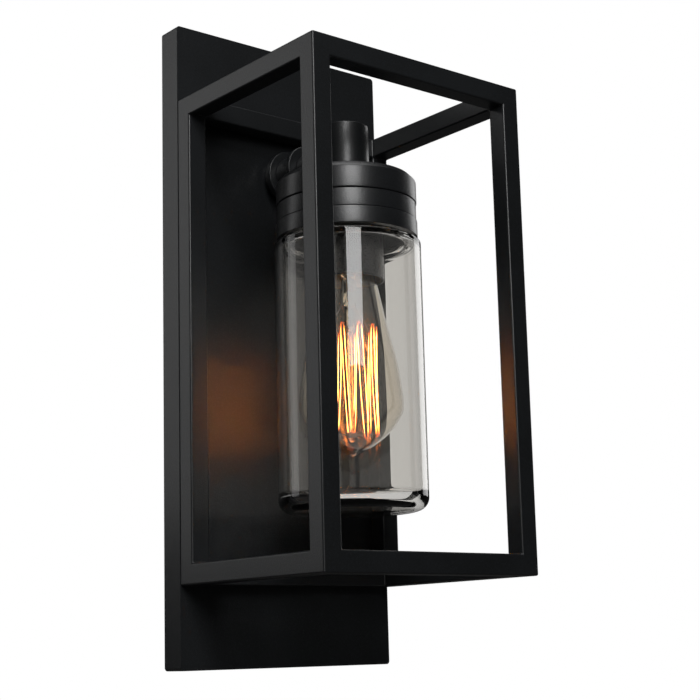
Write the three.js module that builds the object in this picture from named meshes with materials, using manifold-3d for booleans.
// Outdoor wall lantern: a wall plate, an open box cage of welded square tube, and a short arm
// that carries a capped glass jar with one screw-in filament bulb.
// Millimetres, +Z up. The wall is the plane y = 0 and the lantern stands out of it towards -Y.
// The origin is on the wall, in the middle of the plate's width and height.

import * as THREE from "three";
import { mergeVertices } from "three/addons/utils/BufferGeometryUtils.js";
import Module from "manifold-3d";

const wasm = await Module();
wasm.setup();

// ---------------------------------------------------------------- driving dimensions
const WIDTH = 152; // wall plate and cage
const PLATE_HEIGHT = 379;
const PLATE_DEPTH = 16.5;
const PLATE_SHEET = 2;
const PLATE_CORNER = 2;
const CAGE_HEIGHT = 285;
const REACH_TOTAL = 147.5; // wall to the cage's front
const TUBE = 12; // square tube of the cage
const TUBE_WALL = 1.2;
const REACH = 79; // wall to the lamp's upright axis
const ARM_Z = 106.5; // height of the arm's axis
const GAP = 0.3; // clearance between pieces that touch

const CAP_TOP = 90.6;
const CAP_RADIUS = 41;
const CAP_CHAMFER = 3.4;
const CAP_SPLIT = 74.3; // lower edge of the cap's skirt
const FITTER_SPLIT = 63.9; // between the fitter's body and its trim ring
const FITTER_BOTTOM = 54.2;
const FITTER_BORE = 36.6; // takes the jar's neck
const STEM_RADIUS = 14;
const STEM_TOP = 122.5;

const JAR_RADIUS = 42.7;
const JAR_BOTTOM = -104;
const JAR_SHOULDER = 52.4;
const JAR_NECK_RADIUS = 35.6;
const JAR_NECK_TOP = 68.8;
const GLASS = 3;
const NECK_WALL = 2.6;

const CUP_RADIUS = 21;
const CUP_BOTTOM = 29.4;
const BULB_RADIUS = 30;
const BULB_TIP = -73;
const BULB_CAP_RIM = 41; // lower edge of the bulb's metal cap
const BULB_TOP = 66.5; // top of the bulb's tip contact
const CAGE_FILAMENT_RADIUS = 15.6;
const FILAMENT_TOP = 6.5;
const FILAMENT_BOTTOM = -60.5;

// ---------------------------------------------------------------- materials
function finish(color, roughness, metalness) {
  return { color, roughness, metalness };
}
const BLACK_COAT = finish(0x232425, 0.62, 0.2);
const ZINC = finish(0xb8bcc0, 0.4, 1);
const GREEN_SCREW = finish(0x2f7d43, 0.45, 0.6);
const FOAM = finish(0x202122, 0.95, 0);
const SILICONE = finish(0xc9cac8, 0.6, 0);
const CLEAR_GLASS = { ...finish(0xdfe4e4, 0.05, 0), transparent: true, opacity: 0.3 };
const BULB_GLASS = { ...finish(0xe8dcc4, 0.05, 0), transparent: true, opacity: 0.3 };
const PORCELAIN = finish(0xe9e6df, 0.25, 0);
const BRASS = finish(0xb9924a, 0.35, 1);
const BLACK_GLASS = finish(0x17181a, 0.15, 0);
const TUNGSTEN = finish(0xffb765, 0.5, 0.3);
const SUPPORT_WIRE = finish(0x8d8f92, 0.4, 1);
const LEAD_BLACK = finish(0x1b1b1c, 0.6, 0);
const LEAD_WHITE = finish(0xdcdad4, 0.6, 0);
const NUT_ORANGE = finish(0xc8612a, 0.55, 0);

// ---------------------------------------------------------------- helpers
// Merges shared corners, drops collapsed triangles and turns the faces outwards.
function closedForm(geometry) {
  const bare = geometry.clone();
  bare.deleteAttribute("normal");
  bare.deleteAttribute("uv");
  const merged = mergeVertices(bare, 1e-3);
  const place = merged.attributes.position;
  const kept = [];
  let volume = 0;
  const [a, b, c] = [new THREE.Vector3(), new THREE.Vector3(), new THREE.Vector3()];
  for (let i = 0; i < merged.index.count; i += 3) {
    const corners = [0, 1, 2].map((k) => merged.index.getX(i + k));
    if (new Set(corners).size < 3) continue;
    kept.push(...corners);
    a.fromBufferAttribute(place, corners[0]);
    b.fromBufferAttribute(place, corners[1]);
    c.fromBufferAttribute(place, corners[2]);
    volume += a.dot(b.cross(c));
  }
  if (volume < 0) kept.reverse();
  merged.setIndex(kept);
  merged.computeVertexNormals();
  return merged;
}

function toSolid(geometry) {
  const form = closedForm(geometry);
  const vertProperties = new Float32Array(form.attributes.position.array);
  const triVerts = new Uint32Array(form.index.array);
  return new wasm.Manifold(new wasm.Mesh({ numProp: 3, vertProperties, triVerts }));
}

function toGeometry(solid) {
  const mesh = solid.getMesh();
  const geometry = new THREE.BufferGeometry();
  geometry.setAttribute("position", new THREE.BufferAttribute(mesh.vertProperties, 3));
  geometry.setIndex(new THREE.BufferAttribute(mesh.triVerts, 1));
  return geometry;
}

function cut(geometry, ...tools) {
  return toGeometry(tools.reduce((solid, tool) => solid.subtract(toSolid(tool)), toSolid(geometry)));
}

function join(geometry, ...others) {
  return toGeometry(others.reduce((solid, other) => solid.add(toSolid(other)), toSolid(geometry)));
}

// Block between two opposite corners.
function block([x0, y0, z0], [x1, y1, z1]) {
  const geometry = new THREE.BoxGeometry(x1 - x0, y1 - y0, z1 - z0);
  return geometry.translate((x0 + x1) / 2, (y0 + y1) / 2, (z0 + z1) / 2);
}

// Round bar of one radius about the Z axis, or a cone when two radii are given.
function rod(radius, z0, z1, sides = 20, topRadius = radius) {
  const geometry = new THREE.CylinderGeometry(topRadius, radius, z1 - z0, sides);
  return geometry.rotateX(Math.PI / 2).translate(0, 0, (z0 + z1) / 2);
}

// Solid of revolution about Z from [radius, z] corners. A tube's outline is closed on itself.
function turned(outline, sides = 24, closed = false) {
  const points = outline.map(([radius, z]) => new THREE.Vector2(radius, z));
  if (closed) points.push(points[0].clone());
  return closedForm(new THREE.LatheGeometry(points, sides).rotateX(Math.PI / 2));
}

function ring(inner, outer, z0, z1, sides = 24) {
  return turned([[inner, z0], [outer, z0], [outer, z1], [inner, z1]], sides, true);
}

// Points of an arc in the [radius, z] plane, angles in degrees from the +radius direction.
function arc(centreR, centreZ, radius, from, to, steps) {
  return Array.from({ length: steps + 1 }, (_, i) => {
    const angle = THREE.MathUtils.degToRad(from + ((to - from) * i) / steps);
    return [centreR + radius * Math.cos(angle), centreZ + radius * Math.sin(angle)];
  });
}

function polygonShape(radius, sides) {
  const corner = (i) => {
    const angle = (2 * Math.PI * i) / sides;
    return new THREE.Vector2(radius * Math.cos(angle), radius * Math.sin(angle));
  };
  return new THREE.Shape(Array.from({ length: sides }, (_, i) => corner(i)));
}

// Round wire along a curve through the given points.
function wire(points, radius, steps, sides = 6) {
  const stops = points.map((p) => new THREE.Vector3(...p));
  const path = new THREE.CatmullRomCurve3(stops, false, "centripetal");
  return new THREE.ExtrudeGeometry(polygonShape(radius, sides), { steps, extrudePath: path });
}

// Hexagonal nut with a round hole, about Z.
function hexNut(acrossFlats, bore, z0, z1) {
  const hexagon = polygonShape(acrossFlats / Math.sqrt(3), 6);
  const blank = new THREE.ExtrudeGeometry(hexagon, { depth: z1 - z0, bevelEnabled: false });
  return cut(blank.translate(0, 0, z0), rod(bore, z0 - 1, z1 + 1));
}

function roundedRectangle(width, height, radius) {
  const [w, h] = [width / 2, height / 2];
  const shape = new THREE.Shape();
  shape.moveTo(w - radius, -h);
  shape.absarc(w - radius, -h + radius, radius, -Math.PI / 2, 0);
  shape.absarc(w - radius, h - radius, radius, 0, Math.PI / 2);
  shape.absarc(-w + radius, h - radius, radius, Math.PI / 2, Math.PI);
  shape.absarc(-w + radius, -h + radius, radius, Math.PI, 1.5 * Math.PI);
  return shape;
}

function rectangle(width, height) {
  const [w, h] = [width / 2, height / 2];
  return [[-w, -h], [w, -h], [w, h], [-w, h]].map(([x, y]) => new THREE.Vector2(x, y));
}

const lantern = new THREE.Group();
const armGroup = new THREE.Group(); // local +Z runs out of the wall along the arm
armGroup.position.set(0, 0, ARM_Z);
armGroup.rotation.x = Math.PI / 2;
const lampGroup = new THREE.Group(); // local Z is the lamp's upright axis
lampGroup.position.set(0, -REACH, 0);
lantern.add(armGroup, lampGroup);

function piece(name, geometry, material, group = lantern) {
  const mesh = new THREE.Mesh(closedForm(geometry), new THREE.MeshStandardMaterial(material));
  mesh.name = name;
  group.add(mesh);
  return mesh;
}

// ---------------------------------------------------------------- wall plate and its fixings
const CAGE_SCREW_Z = 100;
const POST_X = (WIDTH - TUBE) / 2;
const EDGE_SCREW_Y = -7.5;
const EDGE_SCREW_HEAD = 3.6;
const SCREW_SHANK = 1.9;
const NIPPLE_RADIUS = 6; // arm's threaded tube
const SHEET_BACK = -(PLATE_DEPTH - PLATE_SHEET); // inner face of the plate's front sheet
const PLATE_DRILL = [-20, -10]; // reach along Y of a hole through the plate's front sheet
const BAR_DRILL = [-5, 1]; // reach along Y of a hole through the mounting bar

// Rod that runs along Y, for holes through the plate.
function crossRod(radius, x, z, y0, y1, sides = 20) {
  return rod(radius, y0, y1, sides).rotateX(-Math.PI / 2).translate(x, 0, z);
}

function backplate() {
  const outline = roundedRectangle(WIDTH, PLATE_HEIGHT, PLATE_CORNER);
  const blank = new THREE.ExtrudeGeometry(outline, {
    depth: PLATE_DEPTH,
    bevelEnabled: false,
    curveSegments: 3,
  });
  blank.rotateX(Math.PI / 2);
  const inside = [WIDTH / 2 - PLATE_SHEET, PLATE_HEIGHT / 2 - PLATE_SHEET];
  const hollow = block([-inside[0], SHEET_BACK, -inside[1]], [inside[0], 1, inside[1]]);
  const tools = [hollow, crossRod(NIPPLE_RADIUS + GAP, 0, ARM_Z, ...PLATE_DRILL)];
  for (const x of [-POST_X, POST_X]) {
    for (const z of [-CAGE_SCREW_Z, CAGE_SCREW_Z]) {
      tools.push(crossRod(SCREW_SHANK + GAP, x, z, ...PLATE_DRILL, 12));
    }
  }
  const edge = PLATE_HEIGHT / 2;
  const sink = rod(SCREW_SHANK + GAP, edge - 2.2, edge + 0.1, 16, EDGE_SCREW_HEAD + 2 * GAP);
  tools.push(sink.clone().translate(0, EDGE_SCREW_Y, 0));
  tools.push(sink.clone().rotateX(Math.PI).translate(0, EDGE_SCREW_Y, 0));
  return cut(blank, ...tools);
}
piece("backplate", backplate(), BLACK_COAT);

const BAR_WIDTH = 30;
const BAR_THICK = 2;
const BAR_END = PLATE_HEIGHT / 2 - PLATE_SHEET - GAP;
const BAR_TAB = 11;
const SLOT_Z = 42;
const SLOT_LENGTH = 26;
const SLOT_WIDTH = 5;
const GROUND_Z = 14;
const ARM_CLEARANCE = 10; // radius of the hole that clears the arm's wires

// Full-height strap whose ends turn forwards to take the screws in the plate's edges.
function mountingBar() {
  const side = new THREE.Shape();
  const corners = [[0, -BAR_END], [BAR_TAB, -BAR_END], [BAR_TAB, BAR_THICK - BAR_END]];
  corners.push([BAR_THICK, BAR_THICK - BAR_END], [BAR_THICK, BAR_END - BAR_THICK]);
  corners.push([BAR_TAB, BAR_END - BAR_THICK], [BAR_TAB, BAR_END], [0, BAR_END]);
  side.setFromPoints(corners.map(([out, z]) => new THREE.Vector2(-out, z)));
  const blank = new THREE.ExtrudeGeometry(side, { depth: BAR_WIDTH, bevelEnabled: false });
  blank.rotateX(Math.PI / 2).rotateZ(Math.PI / 2).translate(-BAR_WIDTH / 2, 0, 0);
  const tools = [crossRod(ARM_CLEARANCE, 0, ARM_Z, ...BAR_DRILL)];
  tools.push(crossRod(SCREW_SHANK + GAP, 0, GROUND_Z, ...BAR_DRILL, 12));
  for (const z of [-SLOT_Z, SLOT_Z]) {
    const straight = (SLOT_LENGTH - SLOT_WIDTH) / 2;
    tools.push(block([-SLOT_WIDTH / 2, -5, z - straight], [SLOT_WIDTH / 2, 1, z + straight]));
    tools.push(crossRod(SLOT_WIDTH / 2, 0, z - straight, ...BAR_DRILL, 12));
    tools.push(crossRod(SLOT_WIDTH / 2, 0, z + straight, ...BAR_DRILL, 12));
  }
  tools.push(rod(SCREW_SHANK + GAP, -BAR_END - 1, BAR_END + 1, 12).translate(0, EDGE_SCREW_Y, 0));
  return cut(blank, ...tools);
}
piece("mounting_bar", mountingBar(), ZINC);

const GASKET_DEPTH = 5;
const GASKET_WIDTH = 6;

function wallGasket() {
  const outerW = WIDTH - 2 * (PLATE_SHEET + GAP);
  const outerH = 2 * (BAR_END - BAR_THICK - GAP);
  const outline = new THREE.Shape(rectangle(outerW, outerH));
  outline.holes.push(new THREE.Path(rectangle(outerW - 2 * GASKET_WIDTH, outerH - 2 * GASKET_WIDTH)));
  const blank = new THREE.ExtrudeGeometry(outline, { depth: GASKET_DEPTH, bevelEnabled: false });
  const half = BAR_WIDTH / 2 + GAP;
  return cut(blank.rotateX(Math.PI / 2), block([-half, -BAR_THICK - GAP, -200], [half, 1, 200]));
}
piece("wall_gasket", wallGasket(), FOAM);

// Countersunk screw through the plate's edge into the bar's tab.
function edgeScrew() {
  const edge = PLATE_HEIGHT / 2;
  const outline = [[0, edge - 9], [SCREW_SHANK, edge - 9], [SCREW_SHANK, edge - 1.9]];
  outline.push([EDGE_SCREW_HEAD, edge - 0.1], [0, edge - 0.1]);
  return cut(turned(outline, 16), block([-0.5, -5, edge - 1.1], [0.5, 5, edge + 1]));
}
piece("plate_screw_top", edgeScrew(), BLACK_COAT).position.y = EDGE_SCREW_Y;
const lowerScrew = piece("plate_screw_bottom", edgeScrew(), BLACK_COAT);
lowerScrew.position.y = EDGE_SCREW_Y;
lowerScrew.rotation.x = Math.PI;

// Pan-head screw about Z: the head's seat is at z = 0 and the shank runs to -length.
function panScrew(headRadius, headHeight, shank, length) {
  const outline = [[0, -length], [shank, -length], [shank, 0], [headRadius, 0]];
  outline.push([headRadius, 0.5 * headHeight], [0.7 * headRadius, headHeight], [0, headHeight]);
  const slot = block([-0.45, -headRadius - 1, 0.6 * headHeight], [0.45, headRadius + 1, headHeight + 1]);
  return cut(turned(outline, 12), slot);
}

const groundScrew = piece("ground_screw", panScrew(4, 2.4, SCREW_SHANK, 2), GREEN_SCREW);
groundScrew.position.set(0, -BAR_THICK - GAP, GROUND_Z);
groundScrew.rotation.x = Math.PI / 2;

// ---------------------------------------------------------------- cage of square tube
const CAGE_BACK = -(PLATE_DEPTH + GAP);
const CAGE_FRONT = -REACH_TOTAL;
const CENTRE_X = (WIDTH - TUBE) / 2;
const CENTRE_BACK = CAGE_BACK - TUBE / 2;
const CENTRE_FRONT = CAGE_FRONT + TUBE / 2;
const RAIL_Z = (CAGE_HEIGHT - TUBE) / 2;
const MIDDLE_Y = (CENTRE_BACK + CENTRE_FRONT) / 2;

// Square tube along Z. Mitred ends slope so that the +X side is the longer one.
function squareTube(length, mitred) {
  const section = new THREE.Shape(rectangle(TUBE, TUBE));
  const bore = TUBE - 2 * TUBE_WALL;
  section.holes.push(new THREE.Path(rectangle(bore, bore)));
  const tube = new THREE.ExtrudeGeometry(section, { depth: length, bevelEnabled: false });
  tube.translate(0, 0, -length / 2);
  const place = tube.attributes.position;
  for (let i = 0; mitred && i < place.count; i += 1) {
    place.setZ(i, place.getZ(i) + Math.sign(place.getZ(i)) * place.getX(i));
  }
  return tube;
}

// Top and bottom frames: four mitred rails each.
const RAILS = [
  { side: "left", outward: [-1, 0], at: [-CENTRE_X, MIDDLE_Y], span: CENTRE_BACK - CENTRE_FRONT },
  { side: "right", outward: [1, 0], at: [CENTRE_X, MIDDLE_Y], span: CENTRE_BACK - CENTRE_FRONT },
  { side: "front", outward: [0, -1], at: [0, CENTRE_FRONT], span: 2 * CENTRE_X },
  { side: "rear", outward: [0, 1], at: [0, CENTRE_BACK], span: 2 * CENTRE_X },
];
for (const [level, z] of [["top", RAIL_Z], ["bottom", -RAIL_Z]]) {
  for (const rail of RAILS) {
    const tube = squareTube(rail.span - 1.5 * GAP, true);
    const mesh = piece(`${level}_rail_${rail.side}`, tube, BLACK_COAT);
    const outward = new THREE.Vector3(...rail.outward, 0);
    const up = new THREE.Vector3(0, 0, 1);
    const along = outward.clone().cross(up);
    mesh.applyMatrix4(new THREE.Matrix4().makeBasis(outward, up, along).setPosition(...rail.at, z));
  }
}

// Posts between the two frames. The rear posts are drilled for the screws from the wall plate.
for (const [end, y] of [["front", CENTRE_FRONT], ["rear", CENTRE_BACK]]) {
  for (const [side, x] of [["left", -CENTRE_X], ["right", CENTRE_X]]) {
    let tube = squareTube(CAGE_HEIGHT - 2 * (TUBE + GAP), false);
    if (end === "rear") {
      const drill = (z) => crossRod(SCREW_SHANK + GAP, 0, z, TUBE / 2 - 3, TUBE / 2 + 1, 12);
      tube = cut(tube, drill(CAGE_SCREW_Z), drill(-CAGE_SCREW_Z));
    }
    piece(`post_${end}_${side}`, tube, BLACK_COAT).position.set(x, y, 0);
  }
}

for (const [side, x] of [["left", -CENTRE_X], ["right", CENTRE_X]]) {
  for (const [level, z] of [["upper", CAGE_SCREW_Z], ["lower", -CAGE_SCREW_Z]]) {
    const screw = piece(`cage_screw_${level}_${side}`, panScrew(3.4, 2.3, SCREW_SHANK, 9), ZINC);
    screw.position.set(x, SHEET_BACK + GAP, z);
    screw.rotation.x = -Math.PI / 2;
  }
}

// ---------------------------------------------------------------- arm, along local +Z from the wall
const NIPPLE_BORE = 4.2;
const ARM_BORE = NIPPLE_RADIUS + GAP;
const STEM_WALL = 3;
const FLANGE_RADIUS = 16;
const FLANGE_BOSS = 13;
const FLANGE_END = 26;
const SPACER_RADIUS = 11.5;
const SPACER_END = 39.3;
const COLLAR_RADIUS = 14.5;
const COLLAR_END = 43.2;
const NECK_RADIUS = 9;
const NIPPLE_START = 8.6;
const NIPPLE_END = REACH - STEM_RADIUS + 2.6;

piece("arm_nipple", ring(NIPPLE_BORE, NIPPLE_RADIUS, NIPPLE_START, NIPPLE_END, 20), ZINC, armGroup);

function armFlange() {
  const start = PLATE_DEPTH + GAP;
  const step = start + 5;
  const edge = FLANGE_RADIUS - 0.5;
  const outline = [[ARM_BORE, start], [FLANGE_BOSS, start], [FLANGE_BOSS, step], [edge, step]];
  outline.push([FLANGE_RADIUS, step + 0.5], [FLANGE_RADIUS, FLANGE_END - 0.5]);
  outline.push([edge, FLANGE_END], [ARM_BORE, FLANGE_END]);
  return turned(outline, 28, true);
}
piece("arm_flange", armFlange(), BLACK_COAT, armGroup);
piece("arm_spacer", ring(ARM_BORE, SPACER_RADIUS, FLANGE_END + GAP, SPACER_END), BLACK_COAT, armGroup);

function armCollar() {
  const start = SPACER_END + GAP;
  const edge = COLLAR_RADIUS - 0.5;
  const outline = [[ARM_BORE, start], [edge, start], [COLLAR_RADIUS, start + 0.5]];
  outline.push([COLLAR_RADIUS, COLLAR_END - 0.5], [edge, COLLAR_END], [ARM_BORE, COLLAR_END]);
  return turned(outline, 28, true);
}
piece("arm_collar", armCollar(), BLACK_COAT, armGroup);

// Short neck whose end is hollowed to sit against the round stem.
function armNeck() {
  const tube = ring(ARM_BORE, NECK_RADIUS, COLLAR_END + GAP, REACH - 6, 24);
  const stem = new THREE.CylinderGeometry(STEM_RADIUS + GAP, STEM_RADIUS + GAP, 60, 32);
  return cut(tube, stem.translate(0, 0, REACH));
}
piece("arm_neck", armNeck(), BLACK_COAT, armGroup);

const WASHER_END = -SHEET_BACK - GAP;
piece("arm_washer", ring(ARM_BORE, 10.5, WASHER_END - 1, WASHER_END, 20), ZINC, armGroup);
piece("arm_lock_nut", hexNut(17, ARM_BORE, 9.4, WASHER_END - 1 - GAP), ZINC, armGroup);

// ---------------------------------------------------------------- stem and cap, about the lamp's axis
const ENTRY_RADIUS = 5; // threaded tube that joins stem, cap and lampholder
const ENTRY_HOLE = ENTRY_RADIUS + GAP;

function stem() {
  const bottom = CAP_TOP + GAP;
  const bore = STEM_RADIUS - STEM_WALL;
  const outline = [[ENTRY_HOLE, bottom], [STEM_RADIUS, bottom], [STEM_RADIUS, STEM_TOP - 1]];
  outline.push([STEM_RADIUS - 1, STEM_TOP], [0, STEM_TOP], [0, STEM_TOP - STEM_WALL]);
  outline.push([bore, STEM_TOP - STEM_WALL], [bore, bottom + 5], [ENTRY_HOLE, bottom + 5]);
  const sideHole = new THREE.CylinderGeometry(ARM_BORE, ARM_BORE, 12, 20);
  return cut(turned(outline, 32, true), sideHole.translate(0, STEM_RADIUS, ARM_Z));
}
piece("stem", stem(), BLACK_COAT, lampGroup);

const SKIRT_WALL = 3.2;
const SCREW_CIRCLE = 28;
const CAP_SCREW_SHANK = 1.5;
const CAP_BOSS_RADIUS = 4;
const CAP_SCREWS = [0, 1, 2];
const CAP_WEB = 3.2; // thickness of the cap's flat top
const FITTER_SLEEVE = 1.8; // wall of the sleeve round the jar's neck

function onScrewCircle(geometry, i) {
  return geometry.translate(SCREW_CIRCLE, 0, 0).rotateZ((2 * Math.PI * (i + 0.25)) / 3);
}

// Lid with a chamfered upper edge, a skirt and three bosses for the fitter's screws.
function capTop() {
  const web = CAP_TOP - CAP_WEB;
  const inner = CAP_RADIUS - SKIRT_WALL;
  const skirt = CAP_SPLIT + GAP;
  const outline = [[ENTRY_HOLE, CAP_TOP], [CAP_RADIUS - CAP_CHAMFER, CAP_TOP]];
  outline.push([CAP_RADIUS, CAP_TOP - CAP_CHAMFER], [CAP_RADIUS, skirt], [inner, skirt]);
  outline.push([inner, web], [ENTRY_HOLE, web]);
  const boss = (i) => onScrewCircle(rod(CAP_BOSS_RADIUS, skirt, web + 1, 12), i);
  const drill = (i) => onScrewCircle(rod(CAP_SCREW_SHANK + GAP, CAP_SPLIT - 1, web - 2, 8), i);
  return cut(join(turned(outline, 40, true), ...CAP_SCREWS.map(boss)), ...CAP_SCREWS.map(drill));
}
piece("cap_top", capTop(), BLACK_COAT, lampGroup);

const FITTER_WEB = CAP_SPLIT - 3.3;

// Ring with an inner web and a thin sleeve that the jar's neck screws into.
function fitterBody() {
  const outer = CAP_RADIUS - 0.4;
  const sleeve = FITTER_BORE + FITTER_SLEEVE;
  const bottom = FITTER_BOTTOM + 1.8;
  const outline = [[CUP_RADIUS + GAP, CAP_SPLIT], [outer - 0.4, CAP_SPLIT], [outer, CAP_SPLIT - 0.4]];
  outline.push([outer, FITTER_SPLIT + GAP], [sleeve, FITTER_SPLIT + GAP], [sleeve, bottom]);
  outline.push([FITTER_BORE, bottom], [FITTER_BORE, FITTER_WEB], [CUP_RADIUS + GAP, FITTER_WEB]);
  const drill = (i) => onScrewCircle(rod(CAP_SCREW_SHANK + GAP, FITTER_WEB - 1, CAP_SPLIT + 1, 8), i);
  return cut(turned(outline, 40, true), ...CAP_SCREWS.map(drill));
}
piece("fitter_body", fitterBody(), BLACK_COAT, lampGroup);

function fitterRim() {
  const outer = CAP_RADIUS + 0.1;
  const sleeve = FITTER_BORE + FITTER_SLEEVE + GAP;
  const lip = FITTER_BOTTOM + 1.5;
  const outline = [[FITTER_BORE, FITTER_BOTTOM], [outer, FITTER_BOTTOM], [outer, FITTER_SPLIT]];
  outline.push([sleeve, FITTER_SPLIT], [sleeve, lip], [FITTER_BORE, lip]);
  return turned(outline, 40, true);
}
piece("fitter_rim", fitterRim(), BLACK_COAT, lampGroup);

for (const i of CAP_SCREWS) {
  const screw = panScrew(2.8, 1.8, CAP_SCREW_SHANK, 10).rotateX(Math.PI);
  screw.translate(0, 0, FITTER_WEB - GAP);
  piece(`cap_screw_${i + 1}`, onScrewCircle(screw, i), ZINC, lampGroup);
}

// ---------------------------------------------------------------- lampholder
const CUP_WALL = 1.5;
const CUP_TOP = CAP_TOP - CAP_WEB - GAP;

function holderCup() {
  const inner = CUP_RADIUS - CUP_WALL;
  const roof = CUP_TOP - CUP_WALL;
  const outline = [[ENTRY_HOLE, CUP_TOP], [CUP_RADIUS - 1, CUP_TOP], [CUP_RADIUS, CUP_TOP - 1]];
  outline.push([CUP_RADIUS, CUP_BOTTOM], [inner, CUP_BOTTOM], [inner, roof], [ENTRY_HOLE, roof]);
  return turned(outline, 32, true);
}
piece("holder_cup", holderCup(), BLACK_COAT, lampGroup);

const SHELL_INNER = 13.5;
const SHELL_OUTER = 14;
const HOLDER_FLOOR = 68; // above the bulb's tip
const HOLDER_RIM = 46;
const HOLDER_TOP = 77;
const POCKET_RADIUS = 8.5;

// Porcelain body: a bore for the screw shell below, a terminal pocket above.
function holderInsulator() {
  const outer = CUP_RADIUS - CUP_WALL - GAP;
  const bore = SHELL_OUTER + GAP;
  const pocketFloor = HOLDER_FLOOR + 4.5;
  const outline = [[bore, HOLDER_RIM], [outer - 0.8, HOLDER_RIM], [outer, HOLDER_RIM + 0.8]];
  outline.push([outer, HOLDER_TOP], [POCKET_RADIUS, HOLDER_TOP], [POCKET_RADIUS, pocketFloor]);
  outline.push([0, pocketFloor], [0, HOLDER_FLOOR], [bore, HOLDER_FLOOR]);
  return turned(outline, 28, true);
}
piece("holder_insulator", holderInsulator(), PORCELAIN, lampGroup);
const SHELL_TOP = HOLDER_FLOOR - GAP;
piece("screw_shell", ring(SHELL_INNER, SHELL_OUTER, HOLDER_RIM + 0.5, SHELL_TOP), BRASS, lampGroup);
piece("centre_contact", block([-9, -2.5, BULB_TOP + GAP], [3.5, 2.5, SHELL_TOP]), BRASS, lampGroup);

const ENTRY_NUT_TOP = CUP_TOP - CUP_WALL - GAP;
piece("holder_nipple", ring(3.4, ENTRY_RADIUS, 81, CAP_TOP + GAP + 5, 16), ZINC, lampGroup);
piece("nipple_nut", hexNut(14, ENTRY_HOLE, ENTRY_NUT_TOP - 3, ENTRY_NUT_TOP), ZINC, lampGroup);

// ---------------------------------------------------------------- fixture wires and their connectors
const LEAD_RADIUS = 1.1;
const CONNECTOR_X = 24;
const CONNECTOR_Y = -7.6;
const CONNECTOR_TOP = 62;

// From the lampholder up through the stem, along the arm and down behind the wall plate.
function lead(side) {
  const x = 1.7 * side;
  const end = CONNECTOR_X * side;
  const route = [[x, -REACH, 73.5], [x, -REACH, 84], [x, -REACH, 97], [x, -REACH + 2, 103.3]];
  route.push([x, -REACH + 7, 106.1], [x, -REACH + 13, ARM_Z], [x, -40, ARM_Z], [x, -14, ARM_Z]);
  route.push([x, -9, ARM_Z - 0.1], [x * 1.3, -6, ARM_Z - 3], [x * 3, -5.6, 97], [12 * side, -6, 84]);
  route.push([21 * side, -7, 72], [end, CONNECTOR_Y, 64], [end, CONNECTOR_Y, CONNECTOR_TOP - 9]);
  return wire(route, LEAD_RADIUS, 36);
}

function wireConnector() {
  const [closedEnd, bore] = [CONNECTOR_TOP - 20, CONNECTOR_TOP - 10];
  const outline = [[0, closedEnd], [3.6, closedEnd], [5, CONNECTOR_TOP - 5], [5, CONNECTOR_TOP]];
  outline.push([3, CONNECTOR_TOP], [2.2, bore], [0, bore]);
  return turned(outline, 12);
}
for (const [name, side, colour] of [["live", 1, LEAD_BLACK], ["neutral", -1, LEAD_WHITE]]) {
  piece(`lead_${name}`, lead(side), colour);
  const connector = piece(`connector_${name}`, wireConnector(), NUT_ORANGE);
  connector.position.set(CONNECTOR_X * side, CONNECTOR_Y, 0);
}

// ---------------------------------------------------------------- glass jar and its seal
function glassJar() {
  const foot = 11;
  const shoulder = 2.2;
  const inner = JAR_RADIUS - GLASS;
  const floor = JAR_BOTTOM + 5;
  const innerShoulder = JAR_SHOULDER - GLASS;
  const neckInner = JAR_NECK_RADIUS - NECK_WALL;
  const outline = [[0, JAR_BOTTOM], ...arc(JAR_RADIUS - foot, JAR_BOTTOM + foot, foot, -90, 0, 5)];
  outline.push(...arc(JAR_RADIUS - shoulder, JAR_SHOULDER - shoulder, shoulder, 0, 90, 2));
  outline.push([JAR_NECK_RADIUS, JAR_SHOULDER], [JAR_NECK_RADIUS, JAR_NECK_TOP], [neckInner, JAR_NECK_TOP]);
  outline.push([neckInner, innerShoulder + 0.6], [neckInner + 1.4, innerShoulder]);
  outline.push(...arc(inner - 1.5, innerShoulder - 1.5, 1.5, 90, 0, 2));
  outline.push(...arc(inner - 7, floor + 7, 7, 0, -90, 4), [0, floor]);
  return turned(outline, 32);
}
piece("glass_jar", glassJar(), CLEAR_GLASS, lampGroup);
const SEAL_SPAN = [JAR_NECK_TOP + GAP, FITTER_WEB - GAP];
piece("jar_seal", ring(JAR_NECK_RADIUS - NECK_WALL, JAR_NECK_RADIUS, ...SEAL_SPAN, 32), SILICONE, lampGroup);

// ---------------------------------------------------------------- bulb
// Half outline of the glass from the metal cap down to the tip.
const bulbOutline = new THREE.SplineCurve(
  [[13.4, 39.4], [14.5, 35.5], [16.1, 29.5], [22.2, 1.2], [27.2, -20], [BULB_RADIUS, -43.7], [26.3, -53.5],
    [20.4, -60.6], [11.4, -67.4], [5, -71.2], [0, BULB_TIP]].map(([r, z]) => new THREE.Vector2(r, z)),
);
const BULB_GLASS_WALL = 0.9;

function bulbEnvelope() {
  const steps = 12;
  const outside = bulbOutline.getPoints(steps).map((p) => [p.x, p.y]);
  const inside = [];
  for (let i = steps - 1; i >= 0; i -= 1) {
    const point = bulbOutline.getPoint(i / steps);
    const tangent = bulbOutline.getTangent(i / steps);
    inside.push([point.x + tangent.y * BULB_GLASS_WALL, point.y - tangent.x * BULB_GLASS_WALL]);
  }
  const collar = [[11.3, BULB_CAP_RIM + 3], [12.2, BULB_CAP_RIM + 3], [12.2, BULB_CAP_RIM - 0.5]];
  const tip = [0, BULB_TIP + BULB_GLASS_WALL];
  return turned([...collar, ...outside, tip, ...inside], 24, true);
}
piece("bulb_envelope", bulbEnvelope(), BULB_GLASS, lampGroup);

const BULB_CAP_TOP = BULB_TOP - 4.6;
const TIP_SEAT = BULB_TOP - 1.2; // where the tip contact sits on the insulator

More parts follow.
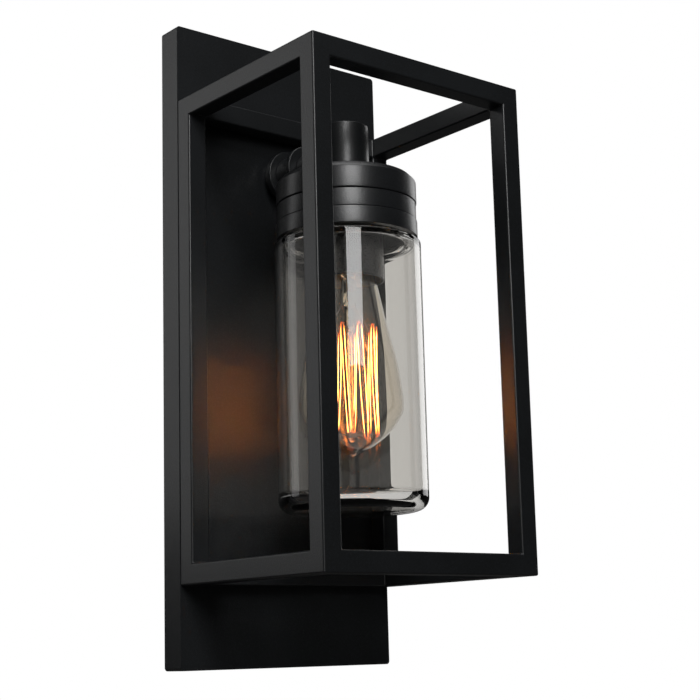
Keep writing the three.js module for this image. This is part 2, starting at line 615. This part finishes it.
function bulbScrewCap() {
  const [inner, outer] = [12.6, 13.1];
  const outline = [[inner, BULB_CAP_RIM], [outer, BULB_CAP_RIM], [outer, BULB_CAP_TOP - 1.5]];
  outline.push([10.6, BULB_CAP_TOP], [9.9, BULB_CAP_TOP], [9.9, BULB_CAP_TOP - 0.6]);
  outline.push([inner, BULB_CAP_TOP - 2]);
  return turned(outline, 24, true);
}
piece("bulb_screw_cap", bulbScrewCap(), BRASS, lampGroup);

function bulbInsulator() {
  const top = TIP_SEAT - GAP;
  const outline = [[0, BULB_CAP_TOP - 2], [9.5, BULB_CAP_TOP - 2], [9.5, BULB_CAP_TOP + 0.2]];
  outline.push([5, top], [0, top]);
  return turned(outline, 16);
}
piece("bulb_insulator", bulbInsulator(), BLACK_GLASS, lampGroup);

function bulbTipContact() {
  const outline = [[0, TIP_SEAT], [4.6, TIP_SEAT], [4.6, TIP_SEAT + 0.6], [3, BULB_TOP], [0, BULB_TOP]];
  return turned(outline, 16);
}
piece("bulb_tip_contact", bulbTipContact(), BRASS, lampGroup);

const ROD_RADIUS = 1.5; // of the mount's glass rod

// Glass mount: a flare under the metal cap, a short pinch and a long thin rod.
function bulbMount() {
  const flare = BULB_CAP_RIM - 1;
  const outline = [[0, flare], [10.4, flare], [10.4, flare - 1], [4, 33], [3.4, 16]];
  outline.push([ROD_RADIUS, 13], [ROD_RADIUS, FILAMENT_BOTTOM - 3], [0, FILAMENT_BOTTOM - 4]);
  return turned(outline, 12);
}
piece("bulb_mount", bulbMount(), CLEAR_GLASS, lampGroup);

// Bead on the glass rod with eight hooks that hold the filament out.
const STRANDS = 16;
function filamentHub(z) {
  const spokes = Array.from({ length: STRANDS / 2 }, (_, i) => {
    const spoke = block([2, -0.3, z - 0.3], [CAGE_FILAMENT_RADIUS - 1, 0.3, z + 0.3]);
    return spoke.rotateZ((2 * Math.PI * i) / (STRANDS / 2));
  });
  return join(ring(ROD_RADIUS + GAP, 2.8, z - 1.4, z + 1.4, 12), ...spokes);
}
piece("filament_hub_top", filamentHub(FILAMENT_TOP), SUPPORT_WIRE, lampGroup);
piece("filament_hub_bottom", filamentHub(FILAMENT_BOTTOM), SUPPORT_WIRE, lampGroup);

// One long wire that runs down and up round the cage, turning at each hook.
function filament() {
  const points = [];
  const onCage = (turn, z) => {
    const angle = (2 * Math.PI * turn) / STRANDS;
    return [CAGE_FILAMENT_RADIUS * Math.cos(angle), CAGE_FILAMENT_RADIUS * Math.sin(angle), z];
  };
  for (let i = 0; i < STRANDS; i += 1) {
    const down = i % 2 === 0;
    const [from, to] = down ? [FILAMENT_TOP, FILAMENT_BOTTOM] : [FILAMENT_BOTTOM, FILAMENT_TOP];
    const inset = down ? -3 : 3;
    for (const z of [from + inset, (from + to) / 2, to - inset]) {
      points.push(onCage(i + 0.5, z));
    }
    if (i < STRANDS - 1) points.push(onCage(i + 1, to));
  }
  return wire(points, 0.35, 6 * STRANDS, 4);
}
piece("filament", filament(), { ...TUNGSTEN, emissive: 0xffa040 }, lampGroup);

for (const [name, side] of [["live", 1], ["neutral", -1]]) {
  const route = [[5.6 * side, 0, 32], [6 * side, 0, 20], [9 * side, 0, 13]];
  route.push([13 * side, 0, FILAMENT_TOP + 2.5]);
  piece(`bulb_lead_${name}`, wire(route, 0.4, 8, 6), SUPPORT_WIRE, lampGroup);
}

export default lantern;
